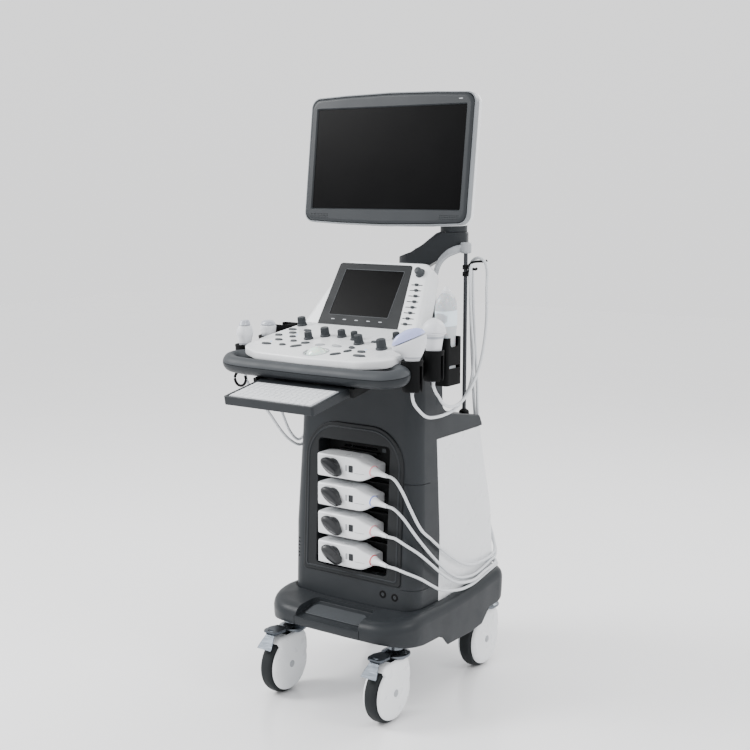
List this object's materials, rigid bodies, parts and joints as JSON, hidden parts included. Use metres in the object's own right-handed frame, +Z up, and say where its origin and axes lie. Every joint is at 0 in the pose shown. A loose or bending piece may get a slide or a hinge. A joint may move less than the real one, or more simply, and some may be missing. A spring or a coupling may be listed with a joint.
{
  "type": "ultrasound machine",
  "caption": "Trolley ultrasound scanner with cabinet on swivel casters, tilted control console, sliding keyboard, touch panel, probe holders, cabled probes and a monitor on a folding arm.",
  "frame": {"origin": "on the floor, in the middle of the machine's width and depth", "axes": "+Z up; the console, the connectors and the monitor face -Y; +X is to the right of someone looking at the front"},
  "size_m": [0.5416, 0.7457, 1.4851],
  "materials": {
    "charcoal_plastic": "satin",
    "white_plastic": "satin gloss",
    "grey_plastic": "satin",
    "light_grey_plastic": "satin",
    "dark_plastic": "matt",
    "black_plastic": "matt",
    "black_glass": "glossy screen glass",
    "steel": "zinc plated",
    "module_casing": "matt, lightly grained",
    "tyre_rubber": "matt",
    "trackball_resin": "polished",
    "probe_plastic": "satin",
    "cable_jacket": "satin",
    "translucent_bottle": "translucent, satin"
  },
  "bodies": {
    "trolley": {"console_base": "charcoal_plastic", "handle_ring": "grey_plastic", "control_panel": "white_plastic", "base_cover": "charcoal_plastic", "chassis_frame": "steel", "electronics_module": "module_casing", "front_cover": "charcoal_plastic", "port_bezel": "dark_plastic", "port_panel": "black_plastic", "side_panel_right": "white_plastic", "side_panel_left": "white_plastic", "rear_cover": "grey_plastic", "shoulder_cover": "charcoal_plastic", "connector_1": "white_plastic", "connector_2": "white_plastic", "connector_3": "white_plastic", "connector_4": "white_plastic", "touch_housing": "white_plastic", "touch_screen": "black_glass", "probe_holder_right": "black_plastic", "probe_holder_left": "black_plastic", "probe_convex": "probe_plastic", "probe_volume": "probe_plastic", "probe_linear": "probe_plastic", "probe_phased": "probe_plastic", "cable_hanger": "light_grey_plastic", "cable_1": "cable_jacket", "cable_2": "cable_jacket", "cable_3": "cable_jacket", "cable_4": "cable_jacket"},
    "caster_front_left": {"caster_hood_front_left": "white_plastic"},
    "wheel_front_left": {"caster_wheel_front_left": "tyre_rubber"},
    "caster_front_right": {"caster_hood_front_right": "white_plastic"},
    "wheel_front_right": {"caster_wheel_front_right": "tyre_rubber"},
    "caster_rear_left": {"caster_hood_rear_left": "white_plastic"},
    "wheel_rear_left": {"caster_wheel_rear_left": "tyre_rubber"},
    "caster_rear_right": {"caster_hood_rear_right": "white_plastic"},
    "wheel_rear_right": {"caster_wheel_rear_right": "tyre_rubber"},
    "brake_front_left": {"brake_pedal_front_left": "steel"},
    "brake_front_right": {"brake_pedal_front_right": "steel"},
    "lever_1": {"connector_lever_1": "grey_plastic"},
    "lever_2": {"connector_lever_2": "grey_plastic"},
    "lever_3": {"connector_lever_3": "grey_plastic"},
    "lever_4": {"connector_lever_4": "grey_plastic"},
    "tray": {"keyboard_tray": "charcoal_plastic", "keyboard": "white_plastic"},
    "arm_lower": {"monitor_arm_lower": "charcoal_plastic"},
    "arm_upper": {"monitor_arm_upper": "charcoal_plastic"},
    "neck": {"monitor_bracket": "charcoal_plastic"},
    "monitor": {"monitor_bezel": "grey_plastic", "monitor_screen": "black_glass", "monitor_rear_shell": "white_plastic"},
    "ball": {"trackball": "trackball_resin"},
    "keys": {"keypad": "grey_plastic"},
    "knob_rear_left_body": {"knob_rear_left": "grey_plastic"},
    "knob_left_body": {"knob_left": "grey_plastic"},
    "knob_centre_body": {"knob_centre": "grey_plastic"},
    "knob_right_body": {"knob_right": "grey_plastic"},
    "knob_far_right_body": {"knob_far_right": "grey_plastic"},
    "bottle": {"gel_bottle": "translucent_bottle"}
  },
  "joints": [
    {"name": "caster_swivel_front_left", "type": "hinge", "parent": "trolley", "child": "caster_front_left", "pos_m": [-0.158, -0.097, 0.153], "axis": [0, 0, 1], "continuous": true},
    {"name": "wheel_spin_front_left", "type": "hinge", "parent": "caster_front_left", "child": "wheel_front_left", "pos_m": [-0.158, -0.135, 0.075], "axis": [1, 0, 0], "continuous": true},
    {"name": "caster_swivel_front_right", "type": "hinge", "parent": "trolley", "child": "caster_front_right", "pos_m": [0.158, -0.097, 0.153], "axis": [0, 0, 1], "continuous": true},
    {"name": "wheel_spin_front_right", "type": "hinge", "parent": "caster_front_right", "child": "wheel_front_right", "pos_m": [0.158, -0.135, 0.075], "axis": [1, 0, 0], "continuous": true},
    {"name": "caster_swivel_rear_left", "type": "hinge", "parent": "trolley", "child": "caster_rear_left", "pos_m": [-0.158, 0.333, 0.153], "axis": [0, 0, 1], "continuous": true},
    {"name": "wheel_spin_rear_left", "type": "hinge", "parent": "caster_rear_left", "child": "wheel_rear_left", "pos_m": [-0.158, 0.295, 0.075], "axis": [1, 0, 0], "continuous": true},
    {"name": "caster_swivel_rear_right", "type": "hinge", "parent": "trolley", "child": "caster_rear_right", "pos_m": [0.158, 0.333, 0.153], "axis": [0, 0, 1], "continuous": true},
    {"name": "wheel_spin_rear_right", "type": "hinge", "parent": "caster_rear_right", "child": "wheel_rear_right", "pos_m": [0.158, 0.295, 0.075], "axis": [1, 0, 0], "continuous": true},
    {"name": "brake_press_front_left", "type": "hinge", "parent": "caster_front_left", "child": "brake_front_left", "pos_m": [-0.158, -0.143, 0.16], "axis": [1, 0, 0], "range_deg": [0, 8]},
    {"name": "brake_press_front_right", "type": "hinge", "parent": "caster_front_right", "child": "brake_front_right", "pos_m": [0.158, -0.143, 0.16], "axis": [1, 0, 0], "range_deg": [0, 8]},
    {"name": "lever_turn_1", "type": "hinge", "parent": "trolley", "child": "lever_1", "pos_m": [-0.043, -0.08, 0.584], "axis": [0, 1, 0], "range_deg": [0, 90]},
    {"name": "lever_turn_2", "type": "hinge", "parent": "trolley", "child": "lever_2", "pos_m": [-0.043, -0.08, 0.51], "axis": [0, 1, 0], "range_deg": [0, 90]},
    {"name": "lever_turn_3", "type": "hinge", "parent": "trolley", "child": "lever_3", "pos_m": [-0.043, -0.08, 0.436], "axis": [0, 1, 0], "range_deg": [0, 90]},
    {"name": "lever_turn_4", "type": "hinge", "parent": "trolley", "child": "lever_4", "pos_m": [-0.043, -0.08, 0.362], "axis": [0, 1, 0], "range_deg": [0, 90]},
    {"name": "tray_slide", "type": "slide", "parent": "trolley", "child": "tray", "axis": [0, 0.9848, 0.1736], "range_m": [0, 0.185]},
    {"name": "arm_swivel", "type": "hinge", "parent": "trolley", "child": "arm_lower", "pos_m": [0, 0.214, 1.06], "axis": [0, 0, 1], "range_deg": [0, 110]},
    {"name": "elbow_swivel", "type": "hinge", "parent": "arm_lower", "child": "arm_upper", "pos_m": [0.1, 0.246, 1.16], "axis": [0, 0, 1], "range_deg": [-80, 60]},
    {"name": "monitor_swivel", "type": "hinge", "parent": "arm_upper", "child": "neck", "pos_m": [0.018, 0.168, 1.215], "axis": [0, 0, 1], "range_deg": [-45, 45]},
    {"name": "monitor_tilt", "type": "hinge", "parent": "neck", "child": "monitor", "pos_m": [0.018, 0.168, 1.3], "axis": [1, 0, 0], "range_deg": [-20, 10]},
    {"name": "trackball_roll", "type": "hinge", "parent": "trolley", "child": "ball", "pos_m": [0, -0.1934, 0.8705], "axis": [1, 0, 0], "continuous": true},
    {"name": "keypad_press", "type": "slide", "parent": "trolley", "child": "keys", "axis": [0, 0.1736, -0.9848], "range_m": [0, 0.0015], "stiffness_N_per_m": 3000, "springref_m": -0.002},
    {"name": "knob_rear_left_turn", "type": "hinge", "parent": "trolley", "child": "knob_rear_left_body", "pos_m": [-0.182, -0.01874, 0.92668], "axis": [0, -0.1736, 0.9848], "continuous": true},
    {"name": "knob_left_turn", "type": "hinge", "parent": "trolley", "child": "knob_left_body", "pos_m": [-0.085, -0.11674, 0.9094], "axis": [0, -0.1736, 0.9848], "continuous": true},
    {"name": "knob_centre_turn", "type": "hinge", "parent": "trolley", "child": "knob_centre_body", "pos_m": [-0.058, -0.08574, 0.91487], "axis": [0, -0.1736, 0.9848], "continuous": true},
    {"name": "knob_right_turn", "type": "hinge", "parent": "trolley", "child": "knob_right_body", "pos_m": [0.066, -0.11974, 0.90887], "axis": [0, -0.1736, 0.9848], "continuous": true},
    {"name": "knob_far_right_turn", "type": "hinge", "parent": "trolley", "child": "knob_far_right_body", "pos_m": [0.146, -0.14174, 0.90499], "axis": [0, -0.1736, 0.9848], "continuous": true},
    {"name": "bottle_lift", "type": "slide", "parent": "trolley", "child": "bottle", "axis": [0, 0, 1], "range_m": [0, 0.12]}
  ]
}
